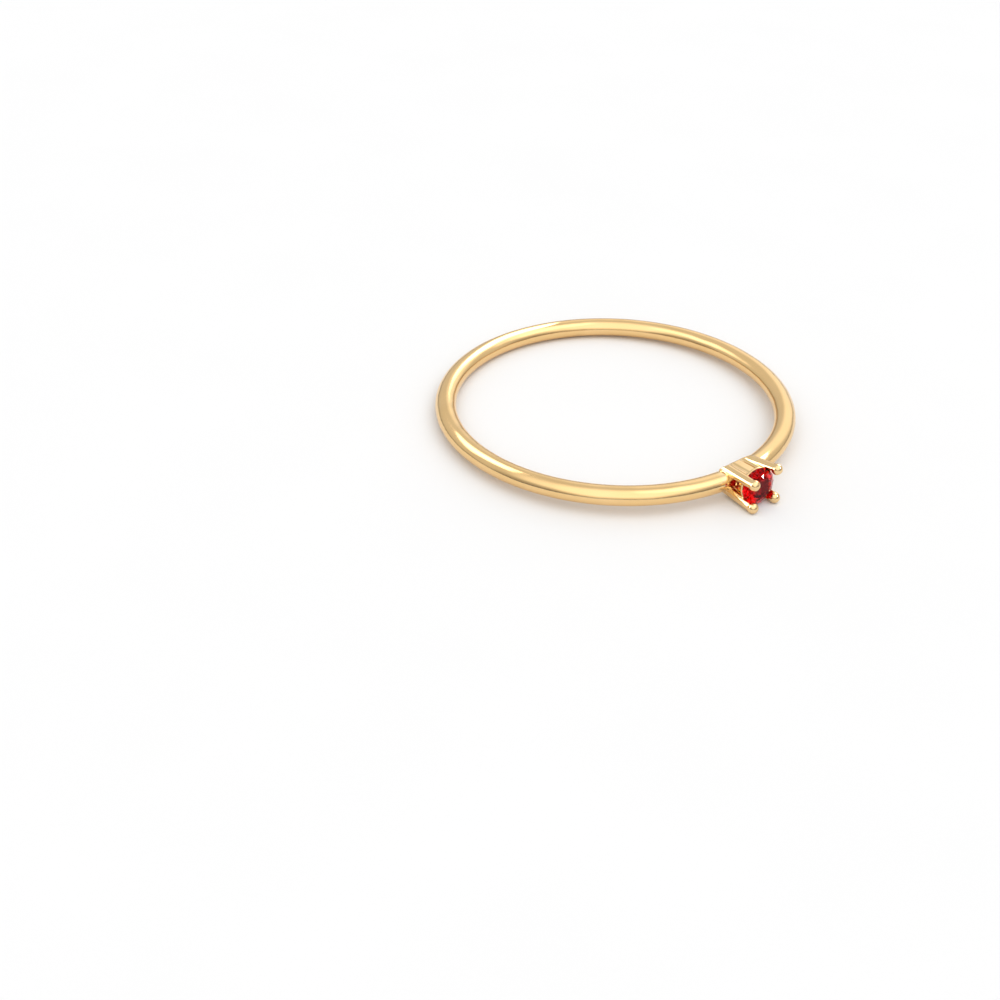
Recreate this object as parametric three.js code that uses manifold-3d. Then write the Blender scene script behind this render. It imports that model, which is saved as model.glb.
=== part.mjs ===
// A thin stackable ring in yellow gold: a round-wire shank soldered to a small
// basket head, whose four ball-tipped prongs hold one round brilliant-cut stone.
//
// Units are millimetres. The ring is drawn with its finger hole along +Z and its
// stone facing -Y. It is then leaned by the degree or two that it takes on a table,
// where it rests on the back of the shank and on the head's two lower prong tips.
// The origin ends up under the middle of the ring, on the table.

import * as THREE from "three";
import { ConvexGeometry } from "three/addons/geometries/ConvexGeometry.js";
import { mergeVertices } from "three/addons/utils/BufferGeometryUtils.js";
import Module from "manifold-3d";

// Finger size: a US size 7 is 17.3 mm across inside.
const FINGER_RADIUS = 17.3 / 2;

// Shank wire, an oval of this depth (towards the finger) and width (along it).
const SHANK_DEPTH = 1.15;
const SHANK_WIDTH = 1.0;
const SHANK_CENTRE_RADIUS = FINGER_RADIUS + SHANK_DEPTH / 2;

// The head. Heights run outwards from the finger hole's wall, along the head's axis.
// "Side" is along the band and "width" is along the finger. The prongs are drawn from
// below the hole's wall, which then trims them flush.
const PRONG_FOOT = { side: 0.68, width: 0.51, height: -0.2, radius: 0.28 };
const PRONG_NECK_RADIUS = 0.26;
const BALL_RADIUS = 0.29;
const WALL_THICKNESS = 0.4;
const WALL_RIM_HEIGHT = 1.74;
const ROOT_HEIGHT = 0.95;
const ROOT_ROUNDING = { halfWidth: 1.04, height: 1.35 };
const RAIL = { height: 1.8, radius: 0.87, thickness: 0.2 };
const CULET_HOLE = { radius: 0.4, height: 1.5 };

// Where the four balls sit. The upper two were pushed over the stone by hand, one further
// than the other. The ring rests on the lower two, which stayed level.
const PRONG_TIPS = {
  upperLeft: { side: -0.8, width: 0.56, height: 2.4 },
  upperRight: { side: 0.79, width: 0.9, height: 2.4 },
  lowerLeft: { side: -0.79, width: -0.75, height: 2.45 },
  lowerRight: { side: 0.79, width: -0.75, height: 2.45 },
};

// The stone, a round brilliant: the girdle's diameter, the usual shares of it, and the
// slight lean that the setter left it with.
const STONE_DIAMETER = 2.0;
const GIRDLE_HEIGHT = 1.97;
const GIRDLE_THICKNESS = 0.05;
const TABLE_SHARE = 0.57;
const CROWN_SHARE = 0.145;
const PAVILION_SHARE = 0.42;
const STAR_SHARE = 0.5;
const KEEL_SHARE = 0.25;
const STONE_LEAN = THREE.MathUtils.degToRad(-6);
const SEAT_GAP = 0.03;

// How far cutters and trims run past the metal.
const OVERSIZE = 2;

// Facet counts for round work.
const SHANK_STEPS = 96;
const WIRE_SIDES = 20;
const PRONG_SIDES = 20;
const BALL_STEPS = 6;
const RAIL_STEPS = 32;
const RAIL_SIDES = 8;

const GOLD = new THREE.MeshStandardMaterial({ color: 0xe3b667, roughness: 0.12, metalness: 1 });
const RUBY = new THREE.MeshStandardMaterial({ color: 0xb00a16, roughness: 0.03, metalness: 0 });

const wasm = await Module();
wasm.setup();

// A three.js geometry as a solid that can be joined and cut.
function solid(geometry) {
  const bare = new THREE.BufferGeometry();
  bare.setAttribute("position", geometry.getAttribute("position"));
  bare.setIndex(geometry.getIndex());
  const merged = mergeVertices(bare, 1e-4);
  return new wasm.Manifold(
    new wasm.Mesh({
      numProp: 3,
      vertProperties: new Float32Array(merged.attributes.position.array),
      triVerts: new Uint32Array(merged.index.array),
    }),
  );
}

function geometryOf(made) {
  const mesh = made.getMesh();
  const geometry = new THREE.BufferGeometry();
  geometry.setAttribute("position", new THREE.BufferAttribute(mesh.vertProperties, 3));
  geometry.setIndex(new THREE.BufferAttribute(mesh.triVerts, 1));
  geometry.computeVertexNormals();
  return geometry;
}

// The wire hoop: an oval section swept round the finger hole.
function shank() {
  const section = [];
  for (let i = 0; i <= WIRE_SIDES; i++) {
    const turn = ((i % WIRE_SIDES) / WIRE_SIDES) * 2 * Math.PI;
    section.push(
      new THREE.Vector2(
        SHANK_CENTRE_RADIUS + (SHANK_DEPTH / 2) * Math.cos(turn),
        (SHANK_WIDTH / 2) * Math.sin(turn),
      ),
    );
  }
  return solid(new THREE.LatheGeometry(section, SHANK_STEPS).rotateX(Math.PI / 2));
}

// Everything of the head is drawn upright, with x to the side, y across the width and z as
// the height, and this turns it to face -Y at the finger hole's wall.
const headPlace = new THREE.Matrix4()
  .makeTranslation(0, -FINGER_RADIUS, 0)
  .multiply(new THREE.Matrix4().makeRotationX(Math.PI / 2));

function inHeadPlace(geometry) {
  return solid(geometry.applyMatrix4(headPlace));
}

// The point of a prong's middle line at a height.
function prongAt(tip, height) {
  const share = (height - PRONG_FOOT.height) / (tip.height - PRONG_FOOT.height);
  return new THREE.Vector3(
    THREE.MathUtils.lerp(Math.sign(tip.side) * PRONG_FOOT.side, tip.side, share),
    THREE.MathUtils.lerp(Math.sign(tip.width) * PRONG_FOOT.width, tip.width, share),
    height,
  );
}

// One prong: a tapered rod with a slightly larger ball at its end.
function prong(tip) {
  const foot = prongAt(tip, PRONG_FOOT.height);
  const line = prongAt(tip, tip.height).sub(foot);
  const length = line.length();
  const neck = Math.asin(PRONG_NECK_RADIUS / BALL_RADIUS) - Math.PI / 2;
  const outline = [new THREE.Vector2(0, 0), new THREE.Vector2(PRONG_FOOT.radius, 0)];
  for (let i = 0; i < BALL_STEPS; i++) {
    const turn = neck + ((Math.PI / 2 - neck) * i) / BALL_STEPS;
    outline.push(
      new THREE.Vector2(BALL_RADIUS * Math.cos(turn), length + BALL_RADIUS * Math.sin(turn)),
    );
  }
  outline.push(new THREE.Vector2(0, length + BALL_RADIUS));
  const rod = new THREE.LatheGeometry(outline, PRONG_SIDES);
  const up = new THREE.Vector3(0, 1, 0);
  rod.applyQuaternion(new THREE.Quaternion().setFromUnitVectors(up, line.normalize()));
  rod.translate(foot.x, foot.y, foot.z);
  return inHeadPlace(rod);
}

// One flat wall between two prongs, on the head's upper or lower side. It leans out with
// them, and its rim ends under the rail.
function wall(leftTip, rightTip) {
  const corners = [];
  for (const tip of [leftTip, rightTip]) {
    for (const height of [PRONG_FOOT.height, WALL_RIM_HEIGHT]) {
      for (const face of [-1, 1]) {
        const corner = prongAt(tip, height);
        corners.push(corner.setY(corner.y + (face * WALL_THICKNESS) / 2));
      }
    }
  }
  return inHeadPlace(new ConvexGeometry(corners));
}

// The solid root of the head, where the wire is soldered in between the walls.
function root() {
  const depth = ROOT_HEIGHT - PRONG_FOOT.height;
  const block = new THREE.BoxGeometry(2 * PRONG_FOOT.side, 2 * PRONG_FOOT.width, depth);
  return inHeadPlace(block.translate(0, 0, ROOT_HEIGHT - depth / 2));
}

// The stone and the rail that carries it lean together about the middle of the girdle.
function leaned(geometry) {
  geometry.translate(0, 0, -GIRDLE_HEIGHT).rotateX(STONE_LEAN).rotateY(STONE_LEAN);
  return geometry.translate(0, 0, GIRDLE_HEIGHT);
}

// The rail under the girdle, which ties the prongs together and carries the stone.
function rail() {
  const half = RAIL.thickness / 2;
  const section = [];
  for (let i = 0; i <= RAIL_SIDES; i++) {
    const turn = ((i % RAIL_SIDES) + 0.5) * ((2 * Math.PI) / RAIL_SIDES);
    section.push(
      new THREE.Vector2(RAIL.radius + half * Math.cos(turn), RAIL.height + half * Math.sin(turn)),
    );
  }
  return inHeadPlace(leaned(new THREE.LatheGeometry(section, RAIL_STEPS).rotateX(Math.PI / 2)));
}

// The corners of a round brilliant, in the head's drawing frame, swollen by a gap.
function brilliantCorners(gap) {
  const radius = STONE_DIAMETER / 2 + gap;
  const tableRadius = (STONE_DIAMETER / 2) * TABLE_SHARE;
  const crown = STONE_DIAMETER * CROWN_SHARE + gap;
  const pavilion = STONE_DIAMETER * PAVILION_SHARE + gap;
  const halfGirdle = GIRDLE_THICKNESS / 2 + gap;
  const crownSlope = crown / (radius - tableRadius);
  const pavilionSlope = pavilion / radius;
  const eighth = Math.PI / 4;
  const onCircle = (r, turn, height) =>
    new THREE.Vector3(r * Math.cos(turn), r * Math.sin(turn), GIRDLE_HEIGHT + height);
  // The eight main facets of a cone meet their neighbours half-way between, at this radius.
  const meeting = (r, inner, slope, top) => top - slope * (r * Math.cos(eighth / 2) - inner);
  const starRadius = tableRadius + STAR_SHARE * (radius - tableRadius);
  const keelRadius = KEEL_SHARE * radius;
  const corners = [onCircle(0, 0, -halfGirdle - pavilion)];
  for (let k = 0; k < 8; k++) {
    const main = k * eighth;
    const between = main + eighth / 2;
    corners.push(onCircle(tableRadius, main, halfGirdle + crown));
    const starHeight = meeting(starRadius, tableRadius, crownSlope, halfGirdle + crown);
    corners.push(onCircle(starRadius, between, starHeight));
    const keelHeight = pavilionSlope * keelRadius * Math.cos(eighth / 2) - halfGirdle - pavilion;
    corners.push(onCircle(keelRadius, between, keelHeight));
  }
  for (let k = 0; k < 16; k++) {
    corners.push(onCircle(radius, (k * eighth) / 2, halfGirdle));
    corners.push(onCircle(radius, (k * eighth) / 2, -halfGirdle));
  }
  return corners;
}

function brilliant(gap) {
  return inHeadPlace(leaned(new ConvexGeometry(brilliantCorners(gap))));
}

// The finger hole, which trims the head flush with the inside of the hoop.
function fingerHole() {
  const hole = new THREE.CylinderGeometry(FINGER_RADIUS, FINGER_RADIUS, 2 * OVERSIZE, SHANK_STEPS);
  return solid(hole.rotateX(Math.PI / 2));
}

// What is left of the head once its root is rounded off towards the finger, as the wire is.
function roundedRoot() {
  const { halfWidth, height } = ROOT_ROUNDING;
  const outline = new THREE.Shape();
  outline.moveTo(-OVERSIZE, 2 * OVERSIZE);
  outline.lineTo(-OVERSIZE, height);
  outline.absellipse(0, height, halfWidth, height, Math.PI, 2 * Math.PI);
  outline.lineTo(OVERSIZE, height);
  outline.lineTo(OVERSIZE, 2 * OVERSIZE);
  const bar = new THREE.ExtrudeGeometry(outline, {
    depth: 2 * OVERSIZE,
    bevelEnabled: false,
    curveSegments: WIRE_SIDES,
  });
  bar.translate(0, 0, -OVERSIZE);
  bar.rotateX(Math.PI / 2);
  return inHeadPlace(bar.rotateZ(Math.PI / 2));
}

// The drilled hole behind the stone.
function culetHole() {
  const { radius, height } = CULET_HOLE;
  const hole = new THREE.CylinderGeometry(radius, radius, 2 * height, PRONG_SIDES);
  return inHeadPlace(hole.rotateX(Math.PI / 2));
}

// The whole cast head. The upper wall kept its level when its right prong was bent away.
function head() {
  const { upperLeft, upperRight, lowerLeft, lowerRight } = PRONG_TIPS;
  const levelRight = { ...upperRight, width: upperLeft.width };
  let metal = root().add(rail()).add(wall(upperLeft, levelRight)).add(wall(lowerLeft, lowerRight));
  for (const tip of Object.values(PRONG_TIPS)) metal = metal.add(prong(tip));
  return metal.intersect(roundedRoot()).subtract(fingerHole());
}

// Shank and head are soldered and polished as one, so they are one solid.
function bandAndSetting() {
  return shank().add(head()).subtract(brilliant(SEAT_GAP)).subtract(culetHole());
}

const band = new THREE.Mesh(geometryOf(bandAndSetting()), GOLD);
band.name = "band_and_setting";

const stone = new THREE.Mesh(geometryOf(brilliant(0)), RUBY);
stone.name = "stone";

const ring = new THREE.Group();
ring.add(band, stone);

// On a table the lower prong tips hold the head up by this much more than the wire needs.
const restTip = PRONG_TIPS.lowerLeft;
const drop = BALL_RADIUS - restTip.width - SHANK_WIDTH / 2;
const span = FINGER_RADIUS + restTip.height + SHANK_CENTRE_RADIUS;
ring.rotation.x = -Math.asin(drop / span);
ring.updateMatrixWorld(true);
const box = new THREE.Box3().setFromObject(ring, true);
const middle = box.getCenter(new THREE.Vector3());
ring.position.set(-middle.x, -middle.y, -box.min.z);

export default ring;
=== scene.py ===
import math

import bmesh
import bpy
import numpy as np
from mathutils import Matrix, Vector


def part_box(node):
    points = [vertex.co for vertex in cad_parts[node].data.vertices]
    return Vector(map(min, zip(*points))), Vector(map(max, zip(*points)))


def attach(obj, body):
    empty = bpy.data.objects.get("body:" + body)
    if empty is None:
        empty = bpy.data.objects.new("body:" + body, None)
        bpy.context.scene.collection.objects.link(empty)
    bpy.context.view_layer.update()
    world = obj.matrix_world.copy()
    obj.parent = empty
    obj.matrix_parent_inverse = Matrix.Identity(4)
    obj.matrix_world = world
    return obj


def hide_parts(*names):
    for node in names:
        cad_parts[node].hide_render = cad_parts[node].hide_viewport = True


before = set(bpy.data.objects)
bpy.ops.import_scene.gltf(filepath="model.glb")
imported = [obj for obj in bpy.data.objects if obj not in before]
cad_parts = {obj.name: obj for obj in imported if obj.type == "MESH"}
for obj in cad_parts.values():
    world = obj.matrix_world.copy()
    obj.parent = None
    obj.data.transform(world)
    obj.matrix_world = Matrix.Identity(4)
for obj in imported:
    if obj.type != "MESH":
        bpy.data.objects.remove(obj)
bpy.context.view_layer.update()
bpy.context.scene.view_settings.view_transform = "Standard"

# The ring as it lies: its back and its two lower prong tips touch the table, which leans it
# by a degree and a half. The ring's own frame is in millimetres, with the middle of the finger
# hole as its origin, the hole along Z and the stone facing -Y.
finger_radius = 17.3 / 2
wire_depth, wire_width = 1.15, 1.0
wire_middle = finger_radius + wire_depth / 2
lower_tip_width, lower_tip_height, ball_radius = 0.75, 2.45, 0.29
drop = lower_tip_width + ball_radius - wire_width / 2
lean = math.asin(drop / (finger_radius + lower_tip_height + wire_middle))
back_reach = wire_middle * math.cos(lean) + wire_depth / 2
hoop_height = wire_middle * math.sin(lean) + wire_width / 2
back_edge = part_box("band_and_setting")[1][1]
millimetre = 0.001
ring_place = (
    Matrix.Translation((0, back_edge - back_reach * millimetre, hoop_height * millimetre))
    @ Matrix.Rotation(-lean, 4, "X")
    @ Matrix.Scale(millimetre, 4)
)

# The camera: a 54 mm lens some 80 mm off, a third of the way up, with the stone at front right.
# It is turned about the ring's own axis, raised from the ring's plane, and then slid to frame it.
camera_turn, camera_rise, camera_roll = math.radians(-39.35), math.radians(33.4), math.radians(0.63)
framing = Vector((-6.26, -5.29, 82.1))
camera_data = bpy.data.cameras.new("camera")
camera_data.lens, camera_data.sensor_width = 54, 36
camera_data.clip_start, camera_data.clip_end = 0.005, 5
camera = bpy.data.objects.new("camera", camera_data)
bpy.context.scene.collection.objects.link(camera)
bpy.context.scene.camera = camera
seen_from = (
    Matrix.Rotation(camera_turn, 4, "Z")
    @ Matrix.Rotation(math.pi / 2 - camera_rise, 4, "X")
    @ Matrix.Rotation(camera_roll, 4, "Z")
)
camera.matrix_world = (ring_place @ seen_from @ Matrix.Translation(framing)).normalized()


# The shank is a length of drawn oval gold wire, bent round and butted into the sides of the head.
# Its two ends run on inside the head, where the solder holds them.
def linear(hex_colour):
    channels = [int(hex_colour[i : i + 2], 16) / 255 for i in (1, 3, 5)]
    return [c / 12.92 if c <= 0.04045 else ((c + 0.055) / 1.055) ** 2.4 for c in channels] + [1]


def add(tree, kind, settings=(), links=()):
    node = tree.nodes.new(kind)
    for name, value in dict(settings).items():
        if isinstance(name, str) and hasattr(node, name):
            setattr(node, name, value)
        else:
            node.inputs[name].default_value = value
    for name, socket in dict(links).items():
        tree.links.new(socket, node.inputs[name])
    return node


def bare_material(name):
    made = bpy.data.materials.new(name)
    made.use_nodes = True
    made.node_tree.nodes.clear()
    return made, made.node_tree


def piece(name, points, faces, material, node, smooth=True):
    mesh = bpy.data.meshes.new(name)
    mesh.from_pydata([tuple(ring_place @ Vector(p)) for p in points], [], faces)
    mesh.polygons.foreach_set("use_smooth", [smooth] * len(mesh.polygons))
    mesh.materials.append(material)
    mesh.update()
    made = bpy.data.objects.new(name, mesh)
    bpy.context.scene.collection.objects.link(made)
    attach(made, "root")
    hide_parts(node)


# Drawn 14 carat gold wire, polished along its length. The eye sees soft, wavering reflections with
# fine lines in them that run round the hoop, drawn wider apart than the real ones so that they show,
# and a narrow band of paler solder at each end, beside the head.
line_spacing, line_length, line_depth = 0.08, 3.0, 0.0008
wave_length, wave_depth = 2.0, 0.06
noise_low, noise_high = 0.3, 0.7  # a noise texture mostly keeps between these two
smoothest, dullest = 0.12, 0.19
solder_begins, solder_full, solder_share = math.pi - 0.16, math.pi - 0.13, 0.5
gold_wire, tree = bare_material("drawn_and_polished_14_carat_gold")
position = add(tree, "ShaderNodeTexCoord").outputs["Object"]
from_middle = {"Location": -ring_place.translation / millimetre, "Scale": [1 / millimetre] * 3}
place = add(tree, "ShaderNodeMapping", from_middle, {"Vector": position}).outputs["Vector"]
apart = add(tree, "ShaderNodeSeparateXYZ", links={"Vector": place}).outputs
flat = add(tree, "ShaderNodeCombineXYZ", links={"X": apart["X"], "Y": apart["Y"]}).outputs["Vector"]
radius = add(tree, "ShaderNodeVectorMath", {"operation": "LENGTH"}, {0: flat}).outputs["Value"]
turn = {0: apart["X"], 1: apart["Y"]}
turn = add(tree, "ShaderNodeMath", {"operation": "ARCTAN2"}, turn).outputs["Value"]
round_hoop = {"X": turn, "Y": radius, "Z": apart["Z"]}
round_hoop = add(tree, "ShaderNodeCombineXYZ", links=round_hoop).outputs["Vector"]
stretch = {"Scale": (wire_middle / line_length, 1 / line_spacing, 1 / line_spacing)}
drawn_out = add(tree, "ShaderNodeMapping", stretch, {"Vector": round_hoop}).outputs["Vector"]
lines = add(tree, "ShaderNodeTexNoise", {"Scale": 1, "Detail": 3}, {"Vector": drawn_out}).outputs["Fac"]
wavy = {"Scale": 1 / wave_length, "Detail": 1}
waves = add(tree, "ShaderNodeTexNoise", wavy, {"Vector": place}).outputs["Fac"]
uneven = add(tree, "ShaderNodeBump", {"Distance": wave_depth * millimetre}, {"Height": waves})
uneven = {"Height": lines, "Normal": uneven.outputs["Normal"]}
lined = add(tree, "ShaderNodeBump", {"Distance": line_depth * millimetre}, uneven)
usual = {"From Min": noise_low, "From Max": noise_high}
dulled = {**usual, "To Min": smoothest, "To Max": dullest}
dulled = add(tree, "ShaderNodeMapRange", dulled, {"Value": lines})
mixed = add(tree, "ShaderNodeMapRange", usual, {"Value": waves})
alloy = {"Color1": linear("#F3CD93"), "Color2": linear("#EEC88C")}
alloy = add(tree, "ShaderNodeMixRGB", alloy, {"Fac": mixed.outputs["Result"]})
from_back = add(tree, "ShaderNodeMath", {"operation": "ABSOLUTE"}, {0: turn}).outputs["Value"]
joint = {"From Min": solder_begins, "From Max": solder_full, "To Max": solder_share}
joint = add(tree, "ShaderNodeMapRange", joint, {"Value": from_back})
soldered = {"Fac": joint.outputs["Result"], "Color1": alloy.outputs["Color"]}
soldered = add(tree, "ShaderNodeMixRGB", {"Color2": linear("#F4DDB4")}, soldered)
surface = {
    "Base Color": soldered.outputs["Color"],
    "Roughness": dulled.outputs["Result"],
    "Normal": lined.outputs["Normal"],
}
surface = add(tree, "ShaderNodeBsdfPrincipled", {"Metallic": 1}, surface)
add(tree, "ShaderNodeOutputMaterial", links={"Surface": surface.outputs["BSDF"]})

wire_steps, wire_sides = 480, 64
hidden_end = 0.6
end_turn = hidden_end / wire_middle
points, faces = [], []
for step in range(wire_steps + 1):
    turn = end_turn + (2 * math.pi - 2 * end_turn) * step / wire_steps
    outward = Vector((math.sin(turn), -math.cos(turn), 0))
    for side in range(wire_sides):
        round_turn = 2 * math.pi * side / wire_sides
        reach = wire_middle + wire_depth / 2 * math.cos(round_turn)
        points.append(outward * reach + Vector((0, 0, wire_width / 2 * math.sin(round_turn))))
for step in range(wire_steps):
    for side in range(wire_sides):
        here, there = step * wire_sides, (step + 1) * wire_sides
        next_side = (side + 1) % wire_sides
        faces.append((here + side, there + side, there + next_side, here + next_side))
last_ring = wire_steps * wire_sides
faces.append(tuple(range(wire_sides)))
faces.append(tuple(last_ring + side for side in reversed(range(wire_sides))))
piece("shank", points, faces, gold_wire, "band_and_setting")

# The head is cast in one in gold and polished: four prongs with balled tips, a wall between each
# pair above and below, a solid root and a rail under the stone. It is drawn as a depth field,
# where each form is negative inside, and its skin is then drawn over the field's zero.
foot_side, foot_width, foot_height = 0.68, 0.51, -0.2
foot_radius, neck_radius = 0.28, 0.26
prong_tips = {
    "upper_left": (-0.8, 0.56, 2.4),
    "upper_right": (0.79, 0.9, 2.4),
    "lower_left": (-0.79, -lower_tip_width, lower_tip_height),
    "lower_right": (0.79, -lower_tip_width, lower_tip_height),
}
level_right = (prong_tips["upper_right"][0], prong_tips["upper_left"][1], prong_tips["upper_right"][2])
wall_thickness, wall_rim = 0.4, 1.74
groove_depth, groove_width, groove_shares = 0.035, 0.06, (0.27, 0.72)
root_height, root_half_width, root_turn = 0.95, 1.04, 1.35
rail_height, rail_radius, rail_thickness = 1.8, 0.87, 0.2
culet_hole, culet_hole_height = 0.4, 1.5
stone_radius, girdle_height, girdle = 1.0, 1.97, 0.05
table_radius, crown_height, pavilion_depth = 0.57 * stone_radius, 0.29, 0.84
seat_gap = 0.012
# The solder runs out along the wire as a collar, which starts just below the wire's surface.
collar_half_width, collar_sunk = 1.3, 0.012
solder, crease, soft_edge, bore_edge, crisp_edge = 0.07, 0.1, 0.04, 0.03, 0.02
stone_lean = math.radians(-6)
stone_turn = Matrix.Rotation(stone_lean, 3, "Y") @ Matrix.Rotation(stone_lean, 3, "X")


def joined(a, b, fillet):
    share = np.clip(0.5 + 0.5 * (b - a) / fillet, 0, 1)
    return b + (a - b) * share - fillet * share * (1 - share)


def kept(a, b, edge):
    return -joined(-a, -b, edge)


def prong_line(tip, height):
    share = (height - foot_height) / (tip[2] - foot_height)
    side = np.sign(tip[0]) * foot_side
    width = np.sign(tip[1]) * foot_width
    return side + (tip[0] - side) * share, width + (tip[1] - width) * share


def prong_depth(points, tip):
    foot = np.array((*prong_line(tip, foot_height), foot_height))
    along = np.array(tip) - foot
    share = np.clip((points - foot) @ along / (along @ along), 0, 1)
    off_axis = np.linalg.norm(points - foot - share[..., None] * along, axis=-1)
    return off_axis - (foot_radius + (neck_radius - foot_radius) * share)


def wall_depth(points, left_tip, right_tip):
    side, width, height = points[..., 0], points[..., 1], points[..., 2]
    left_side, left_width = prong_line(left_tip, height)
    right_side, right_width = prong_line(right_tip, height)
    share = np.clip((side - left_side) / (right_side - left_side), 0, 1)
    outward = np.sign(left_tip[1])
    from_line = outward * (width - left_width - (right_width - left_width) * share)
    grooves = sum(np.exp(-(((share - middle) / groove_width) ** 2)) for middle in groove_shares)
    wall = np.maximum(from_line + groove_depth * grooves, -from_line) - wall_thickness / 2
    ends = np.maximum(left_side - side, side - right_side)
    return kept(wall, np.maximum(height - wall_rim, ends), soft_edge)


def head_depth(points):
    side, width, height = points[..., 0], points[..., 1], points[..., 2]
    across, up = np.abs(side), np.abs(width)
    tips = prong_tips
    root = np.maximum(np.maximum(across - foot_side, up - foot_width), height - root_height)
    from_axis = np.hypot(side, height + finger_radius)
    wire = (np.hypot((from_axis - wire_middle) / wire_depth, width / wire_width) - 0.5) * wire_width
    collar = np.maximum(wire + collar_sunk, across - collar_half_width)
    depth = joined(wall_depth(points, tips["upper_left"], level_right), root, crease)
    depth = joined(depth, wall_depth(points, tips["lower_left"], tips["lower_right"]), crease)
    depth = joined(depth, collar, solder)
    for tip in tips.values():
        depth = joined(depth, prong_depth(points, tip), soft_edge)
    middle = np.array((0, 0, girdle_height))
    leaned = (points - middle) @ np.array(stone_turn) + middle
    from_middle, level = np.hypot(leaned[..., 0], leaned[..., 1]), leaned[..., 2]
    rail = np.hypot(from_middle - rail_radius, level - rail_height) - rail_thickness / 2
    depth = joined(depth, rail, soft_edge)
    rounded = (np.hypot(up / root_half_width, np.minimum(height / root_turn - 1, 0)) - 1) * root_turn
    rounded = np.where(height > root_turn, -1, rounded)
    depth = kept(depth, rounded, soft_edge)
    depth = kept(depth, finger_radius - from_axis, soft_edge)
    slope = stone_radius / pavilion_depth
    low_edge = girdle_height - girdle / 2
    pavilion = (from_middle - stone_radius + (low_edge - level) * slope) / math.hypot(1, slope)
    stone = np.maximum(pavilion, from_middle - stone_radius) - seat_gap
    depth = kept(depth, -np.maximum(stone, height - lower_tip_height), crisp_edge)
    bore = np.hypot(side, width) - culet_hole
    depth = kept(depth, -np.maximum(bore, height - culet_hole_height), bore_edge)
    for tip in tips.values():
        ball = np.linalg.norm(points - np.array(tip), axis=-1) - ball_radius
        depth = joined(depth, ball, crisp_edge)
    return depth


def skin(depth_of, low, high, step):
    counts = [int(round((h - l) / step)) + 1 for l, h in zip(low, high)]
    axes = [l + step * np.arange(n) for l, n in zip(low, counts)]
    inside = depth_of(np.stack(np.meshgrid(*axes, indexing="ij"), -1)) < 0
    # Grid squares with only two opposite corners inside are filled, so that every edge of the skin
    # is shared by just two faces.
    unsettled = True
    while unsettled:
        before = inside.copy()
        for one, two in ((0, 1), (1, 2), (2, 0)):
            solid = np.moveaxis(inside, (one, two), (0, 1))
            near, far = solid[:-1, :-1], solid[1:, 1:]
            left, right = solid[1:, :-1], solid[:-1, 1:]
            lone_pair = (near == far) & (left == right) & (near != left)
            for i, j in ((0, 0), (0, 1), (1, 0), (1, 1)):
                solid[i : i + lone_pair.shape[0], j : j + lone_pair.shape[1]] |= lone_pair
        unsettled = (inside != before).any()
    corners = sum(
        inside[i : i + counts[0] - 1, j : j + counts[1] - 1, k : k + counts[2] - 1].astype(int)
        for i in (0, 1)
        for j in (0, 1)
        for k in (0, 1)
    )
    crossed = (corners > 0) & (corners < 8)
    number = np.full(crossed.shape, -1)
    number[crossed] = np.arange(crossed.sum())
    points = np.array(low) + step * (np.argwhere(crossed) + 0.5)
    nudge, passes, least_slope = step / 20, 12, 0.5
    for _ in range(passes):
        depth = depth_of(points)
        rise = [depth_of(points + nudge * unit) - depth_of(points - nudge * unit) for unit in np.eye(3)]
        slope = np.stack(rise, -1) / (2 * nudge)
        move = -depth[:, None] * slope / np.maximum((slope**2).sum(-1, keepdims=True), least_slope**2)
        points = points + np.clip(move, -step / 2, step / 2)
    faces = []
    for axis in range(3):
        one, two = (axis + 1) % 3, (axis + 2) % 3
        first = np.moveaxis(inside, axis, 0)
        change = np.moveaxis(first[1:].astype(int) - first[:-1].astype(int), 0, axis)
        edges = np.argwhere(change)
        edges = edges[(edges[:, one] > 0) & (edges[:, two] > 0)]
        edges = edges[(edges[:, one] < counts[one] - 1) & (edges[:, two] < counts[two] - 1)]
        back_one, back_two = np.eye(3, dtype=int)[one], np.eye(3, dtype=int)[two]
        around = (edges - back_one - back_two, edges - back_two, edges, edges - back_one)
        quads = np.stack([number[tuple(cell.T)] for cell in around], -1)
        enters = change[tuple(edges.T)] > 0
        quads[enters] = quads[enters][:, ::-1]
        faces.append(quads)
    return points, np.concatenate(faces)


# Cast 14 carat gold, trimmed and polished by hand, brighter than the wire. The eye sees crisper
# reflections, and fine lines that run from the root out to the prong tips, drawn wider apart than
# the real ones so that they show.
line_spacing, line_length, line_depth = 0.06, 0.6, 0.0006
wave_length, wave_depth = 0.9, 0.02
smoothest, dullest = 0.05, 0.1
gold_casting, tree = bare_material("cast_and_polished_14_carat_gold")
position = add(tree, "ShaderNodeTexCoord").outputs["Object"]
place = add(tree, "ShaderNodeMapping", from_middle, {"Vector": position}).outputs["Vector"]
stretch = {"Scale": (1 / line_spacing, 1 / line_length, 1 / line_spacing)}
drawn_out = add(tree, "ShaderNodeMapping", stretch, {"Vector": place}).outputs["Vector"]
lines = add(tree, "ShaderNodeTexNoise", {"Scale": 1, "Detail": 2}, {"Vector": drawn_out}).outputs["Fac"]
wavy = {"Scale": 1 / wave_length, "Detail": 1}
waves = add(tree, "ShaderNodeTexNoise", wavy, {"Vector": place}).outputs["Fac"]
uneven = add(tree, "ShaderNodeBump", {"Distance": wave_depth * millimetre}, {"Height": waves})
uneven = {"Height": lines, "Normal": uneven.outputs["Normal"]}
lined = add(tree, "ShaderNodeBump", {"Distance": line_depth * millimetre}, uneven)
dulled = {**usual, "To Min": smoothest, "To Max": dullest}
dulled = add(tree, "ShaderNodeMapRange", dulled, {"Value": lines})
mixed = add(tree, "ShaderNodeMapRange", usual, {"Value": waves})
alloy = {"Color1": linear("#F3D19C"), "Color2": linear("#EECB94")}
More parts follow.
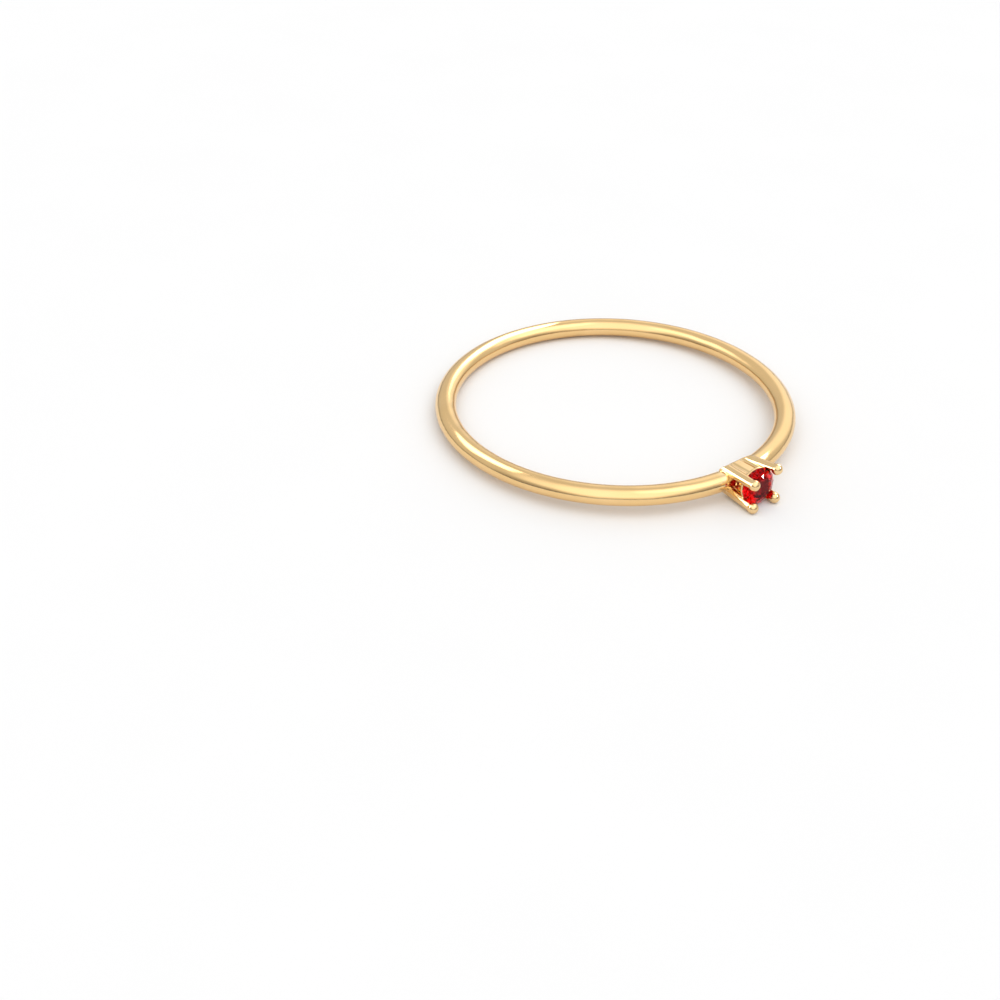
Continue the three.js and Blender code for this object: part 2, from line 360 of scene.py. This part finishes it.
alloy = add(tree, "ShaderNodeMixRGB", alloy, {"Fac": mixed.outputs["Result"]})
surface = {
    "Base Color": alloy.outputs["Color"],
    "Roughness": dulled.outputs["Result"],
    "Normal": lined.outputs["Normal"],
}
surface = add(tree, "ShaderNodeBsdfPrincipled", {"Metallic": 1}, surface)
add(tree, "ShaderNodeOutputMaterial", links={"Surface": surface.outputs["BSDF"]})

half_box, box_foot, box_top, grid_step = 1.4, -0.15, 2.9, 0.028
low, high = (-half_box, -half_box, box_foot), (half_box, half_box, box_top)
points, faces = skin(head_depth, low, high, grid_step)
in_ring = np.stack((points[:, 0], -finger_radius - points[:, 2], points[:, 1]), -1)
piece("head", in_ring.tolist(), faces.tolist(), gold_casting, "band_and_setting")

# The stone is a round brilliant cut in ruby, held by the four balled prongs. It has a table, eight
# stars, eight kites and sixteen triangles above the girdle, and eight long kites and sixteen
# triangles below it.

# Ruby with faint straight growth bands, cut and polished to flat mirrors. Its colour is painted darker
# in the middle as painted shade and paler at the rim as painted light, with a hair of dullness where
# silk lies in it.
shaded_middle_radius, lit_rim_radius = 0.35, 0.95
band_spacing, band_wander = 0.25, 1.5
silk_spacing, silk_length, silk_dullness, silk_begins, silk_full = 0.07, 0.33, 0.02, 0.55, 0.75
ruby, tree = bare_material("faceted_ruby")
position = add(tree, "ShaderNodeTexCoord").outputs["Object"]
stone_middle = ring_place @ Vector((0, -finger_radius - girdle_height, 0))
from_stone = {"Location": -stone_middle / millimetre, "Scale": [1 / millimetre] * 3}
place = add(tree, "ShaderNodeMapping", from_stone, {"Vector": position}).outputs["Vector"]
level = add(tree, "ShaderNodeMapping", {"Scale": (1, 0, 1)}, {"Vector": place}).outputs["Vector"]
from_axis = add(tree, "ShaderNodeVectorMath", {"operation": "LENGTH"}, {0: level}).outputs["Value"]
# Painted shade and light: the colour runs from a dark painted shade in the middle of the stone to a
# pale painted light at its rim.
middle_shade_to_rim_light = {"From Min": shaded_middle_radius, "From Max": lit_rim_radius}
middle_shade_to_rim_light = add(tree, "ShaderNodeMapRange", middle_shade_to_rim_light, {"Value": from_axis})
bands = {"Scale": 1 / (band_spacing * math.pi), "Distortion": band_wander}
bands = add(tree, "ShaderNodeTexWave", bands, {"Vector": place}).outputs["Fac"]
banded_lit_rim = {"Color1": linear("#FF8C84"), "Color2": linear("#F8787C")}
banded_lit_rim = add(tree, "ShaderNodeMixRGB", banded_lit_rim, {"Fac": bands}).outputs["Color"]
shaded_middle_lit_rim = {"Fac": middle_shade_to_rim_light.outputs["Result"], "Color2": banded_lit_rim}
shaded_middle_lit_rim = add(tree, "ShaderNodeMixRGB", {"Color1": linear("#982434")}, shaded_middle_lit_rim)
stretch = {"Scale": (1 / silk_length, 1 / silk_spacing, 1 / silk_spacing)}
drawn_out = add(tree, "ShaderNodeMapping", stretch, {"Vector": place}).outputs["Vector"]
silk = add(tree, "ShaderNodeTexNoise", {"Scale": 1, "Detail": 2}, {"Vector": drawn_out}).outputs["Fac"]
silky = {"From Min": silk_begins, "From Max": silk_full, "To Max": silk_dullness}
silky = add(tree, "ShaderNodeMapRange", silky, {"Value": silk})
clear = {"IOR": 1.77, "Transmission Weight": 1, "Specular Tint": linear("#4A484E")}
surface = {"Base Color": shaded_middle_lit_rim.outputs["Color"], "Roughness": silky.outputs["Result"]}
surface = add(tree, "ShaderNodeBsdfPrincipled", clear, surface)
absorption = 1800  # per metre, so most green and blue is gone within a millimetre
deep_red = {"Color": linear("#FC1028"), "Density": absorption}
deep_red = add(tree, "ShaderNodeVolumeAbsorption", deep_red)
inside_out = {"Surface": surface.outputs["BSDF"], "Volume": deep_red.outputs["Volume"]}
add(tree, "ShaderNodeOutputMaterial", links=inside_out)

eighth = math.pi / 4
half_girdle = girdle / 2
crown_slope = crown_height / (stone_radius - table_radius)
pavilion_slope = pavilion_depth / stone_radius
star_radius = (table_radius + stone_radius) / 2
keel_radius = 0.25 * stone_radius


def corner(radius, turn, height):
    out = stone_turn @ Vector((radius * math.cos(turn), radius * math.sin(turn), height))
    return Vector((out.x, -finger_radius - girdle_height - out.z, out.y))


corners = [corner(0, 0, -half_girdle - pavilion_depth)]
for k in range(8):
    main, between = k * eighth, (k + 0.5) * eighth
    inward = math.cos(eighth / 2)
    star_height = half_girdle + crown_height - crown_slope * (star_radius * inward - table_radius)
    keel_height = pavilion_slope * keel_radius * inward - half_girdle - pavilion_depth
    corners.append(corner(table_radius, main, half_girdle + crown_height))
    corners.append(corner(star_radius, between, star_height))
    corners.append(corner(keel_radius, between, keel_height))
for k in range(16):
    for level in (half_girdle, -half_girdle):
        corners.append(corner(stone_radius, k * eighth / 2, level))
cut = bmesh.new()
for tip in corners:
    cut.verts.new(tip)
bmesh.ops.convex_hull(cut, input=cut.verts)
flat_within = math.radians(0.5)
bmesh.ops.dissolve_limit(cut, angle_limit=flat_within, verts=cut.verts, edges=cut.edges)
bmesh.ops.recalc_face_normals(cut, faces=cut.faces)
cut.verts.index_update()
facets = [[v.index for v in f.verts] for f in cut.faces]
piece("cut_stone", [v.co for v in cut.verts], facets, ruby, "stone", smooth=False)
cut.free()

# The ring lies on a matt white laminate table. The eye sees an even white with a very slight
# cloudiness and a fine grain.
cloud_size, grain_size, grain_depth = 8.0, 0.17, 0.004
laminate, tree = bare_material("matt_white_laminate")
position = add(tree, "ShaderNodeTexCoord").outputs["Object"]
place = add(tree, "ShaderNodeMapping", from_middle, {"Vector": position}).outputs["Vector"]
clouds = {"Scale": 1 / cloud_size, "Detail": 2}
clouds = add(tree, "ShaderNodeTexNoise", clouds, {"Vector": place}).outputs["Fac"]
grain = {"Scale": 1 / grain_size, "Detail": 2}
grain = add(tree, "ShaderNodeTexNoise", grain, {"Vector": place}).outputs["Fac"]
white = {"Color1": linear("#F2F2F2"), "Color2": linear("#F4F4F4")}
white = add(tree, "ShaderNodeMixRGB", white, {"Fac": clouds})
grained = add(tree, "ShaderNodeBump", {"Distance": grain_depth * millimetre}, {"Height": grain})
surface = {"Base Color": white.outputs["Color"], "Normal": grained.outputs["Normal"]}
matt = {"Roughness": 0.6, "Specular IOR Level": 0}
surface = add(tree, "ShaderNodeBsdfPrincipled", matt, surface)
add(tree, "ShaderNodeOutputMaterial", links={"Surface": surface.outputs["BSDF"]})
half_table = 1.5
outline = [(x * half_table, y * half_table, 0) for x, y in ((-1, -1), (1, -1), (1, 1), (-1, 1))]
mesh = bpy.data.meshes.new("table_top")
mesh.from_pydata(outline, [], [(0, 1, 2, 3)])
mesh.materials.append(laminate)
table_top = bpy.data.objects.new("table_top", mesh)
bpy.context.scene.collection.objects.link(table_top)

# Soft studio light, drawn on the world around the table: a plain room with a darker band at the
# height of the table's edge, and large soft lamps. Angles are in degrees, turned from straight
# ahead of the camera towards the right, and raised from the table.
ahead = seen_from.to_3x3() @ Vector((0, 1, 0))
ahead = Vector((ahead.x, ahead.y, 0)).normalized()
aside = Vector((ahead.y, -ahead.x, 0))


def towards(turn, rise):
    turn, rise = math.radians(turn), math.radians(rise)
    level = ahead * math.cos(turn) + aside * math.sin(turn)
    return level * math.cos(rise) + Vector((0, 0, math.sin(rise)))


darkest, backdrop_level = 0.04, 0.95
room_levels = ((0.0, 0.18), (0.04, 0.3), (0.14, 0.66), (0.3, 0.73), (0.55, 0.78), (1.0, 0.75))
soft_lamps = (
    # turn, rise, full out to, gone by, brightness; the last two are black flags
    (175, 60, 20, 58, 0.7),
    (88, 60, 8, 28, 0.7),
    (30, 28, 8, 30, 0.5),
    (128, 8, 8, 36, -0.28),
    (-128, 8, 8, 36, -0.28),
)
world = bpy.data.worlds.new("studio")
world.use_nodes = True
sky = world.node_tree
direction = add(sky, "ShaderNodeTexCoord").outputs["Generated"]
height = add(sky, "ShaderNodeSeparateXYZ", links={"Vector": direction}).outputs["Z"]
room = add(sky, "ShaderNodeValToRGB", links={"Fac": height})
stops = room.color_ramp.elements
stops[0].position, stops[1].position = room_levels[0][0], room_levels[-1][0]
for position, _ in room_levels[1:-1]:
    stops.new(position)
for stop, (_, level) in zip(stops, room_levels):
    stop.color = (level, level, level, 1)
light = room.outputs["Color"]
for turn, rise, full, gone, brightness in soft_lamps:
    facing = {"operation": "DOT_PRODUCT", 1: towards(turn, rise)}
    facing = add(sky, "ShaderNodeVectorMath", facing, {0: direction}).outputs["Value"]
    glow = {"interpolation_type": "SMOOTHSTEP", "To Max": brightness}
    glow["From Min"], glow["From Max"] = math.cos(math.radians(gone)), math.cos(math.radians(full))
    glow = add(sky, "ShaderNodeMapRange", glow, {"Value": facing}).outputs["Result"]
    light = add(sky, "ShaderNodeMath", {"operation": "ADD"}, {0: light, 1: glow}).outputs["Value"]
light = add(sky, "ShaderNodeMath", {"operation": "MAXIMUM", 1: darkest}, {0: light}).outputs["Value"]
seen = add(sky, "ShaderNodeLightPath").outputs["Is Camera Ray"]
backdrop = {"data_type": "FLOAT", "B": backdrop_level}
backdrop = add(sky, "ShaderNodeMix", backdrop, {"Factor": seen, "A": light})
sky.nodes["Background"].inputs["Color"].default_value = (1, 1, 1, 1)
sky.links.new(backdrop.outputs["Result"], sky.nodes["Background"].inputs["Strength"])
bpy.context.scene.world = world

# A few small lamps stand close to the ring, and each lights only a stretch of it: its near left,
# its far left, its far right, both sides and the back of the head, and one facet of the stone.
# Lengths are in millimetres. The brightness is what a mirror facing the lamp would show: a narrow
# spread gathers a lamp's power forwards, so its power is cut back to match.
hoop_middle = ring_place.translation
far_left = hoop_middle + (7.3 * ahead - 5.5 * aside) * millimetre
near_left = hoop_middle - (6.4 * ahead + 7.1 * aside) * millimetre
far_right = hoop_middle + (6.2 * ahead + 6.2 * aside) * millimetre
crown_rise, crown_side = 0.2, 0.75
crown_top = ring_place @ Vector((0, -finger_radius - girdle_height - crown_rise, crown_side))
close_lamps = {
    # what it lights, turn, rise, distance, width, height, brightness, spread
    "far_left_lamp": (far_left, 15, 48, 4, 4, 5, 5, 56),
    "near_left_lamp": (near_left, -45, 50, 12, 7.5, 8.5, 3.2, 64),
    "far_right_lamp": (far_right, -83, 49, 12, 6, 7, 1.3, 64),
    "head_left_lamp": (stone_middle, -88, 12, 7, 5, 3.4, 5, 130),
    "head_right_lamp": (stone_middle, 42, 39, 5, 2.5, 2.5, 5, 70),
    "head_back_lamp": (stone_middle, -103, 39, 6, 2, 2, 4, 110),
    "stone_lamp": (crown_top, 104, 30, 20, 0.9, 0.8, 200, 20),
}
for name, (lit, turn, rise, away, width, height, brightness, spread) in close_lamps.items():
    lamp_data = bpy.data.lights.new(name, "AREA")
    lamp_data.shape = "RECTANGLE"
    lamp_data.size, lamp_data.size_y = width * millimetre, height * millimetre
    lamp_data.spread = math.radians(spread)
    gathered = 1 - lamp_data.spread / 2 / math.tan(lamp_data.spread / 2)
    lamp_data.energy = brightness * math.pi * lamp_data.size * lamp_data.size_y * gathered
    lamp = bpy.data.objects.new(name, lamp_data)
    lamp.location = lit + away * millimetre * towards(turn, rise)
    lamp.rotation_euler = (lit - lamp.location).to_track_quat("-Z", "Y").to_euler()
    lamp.visible_camera = lamp.visible_diffuse = False
    bpy.context.scene.collection.objects.link(lamp)
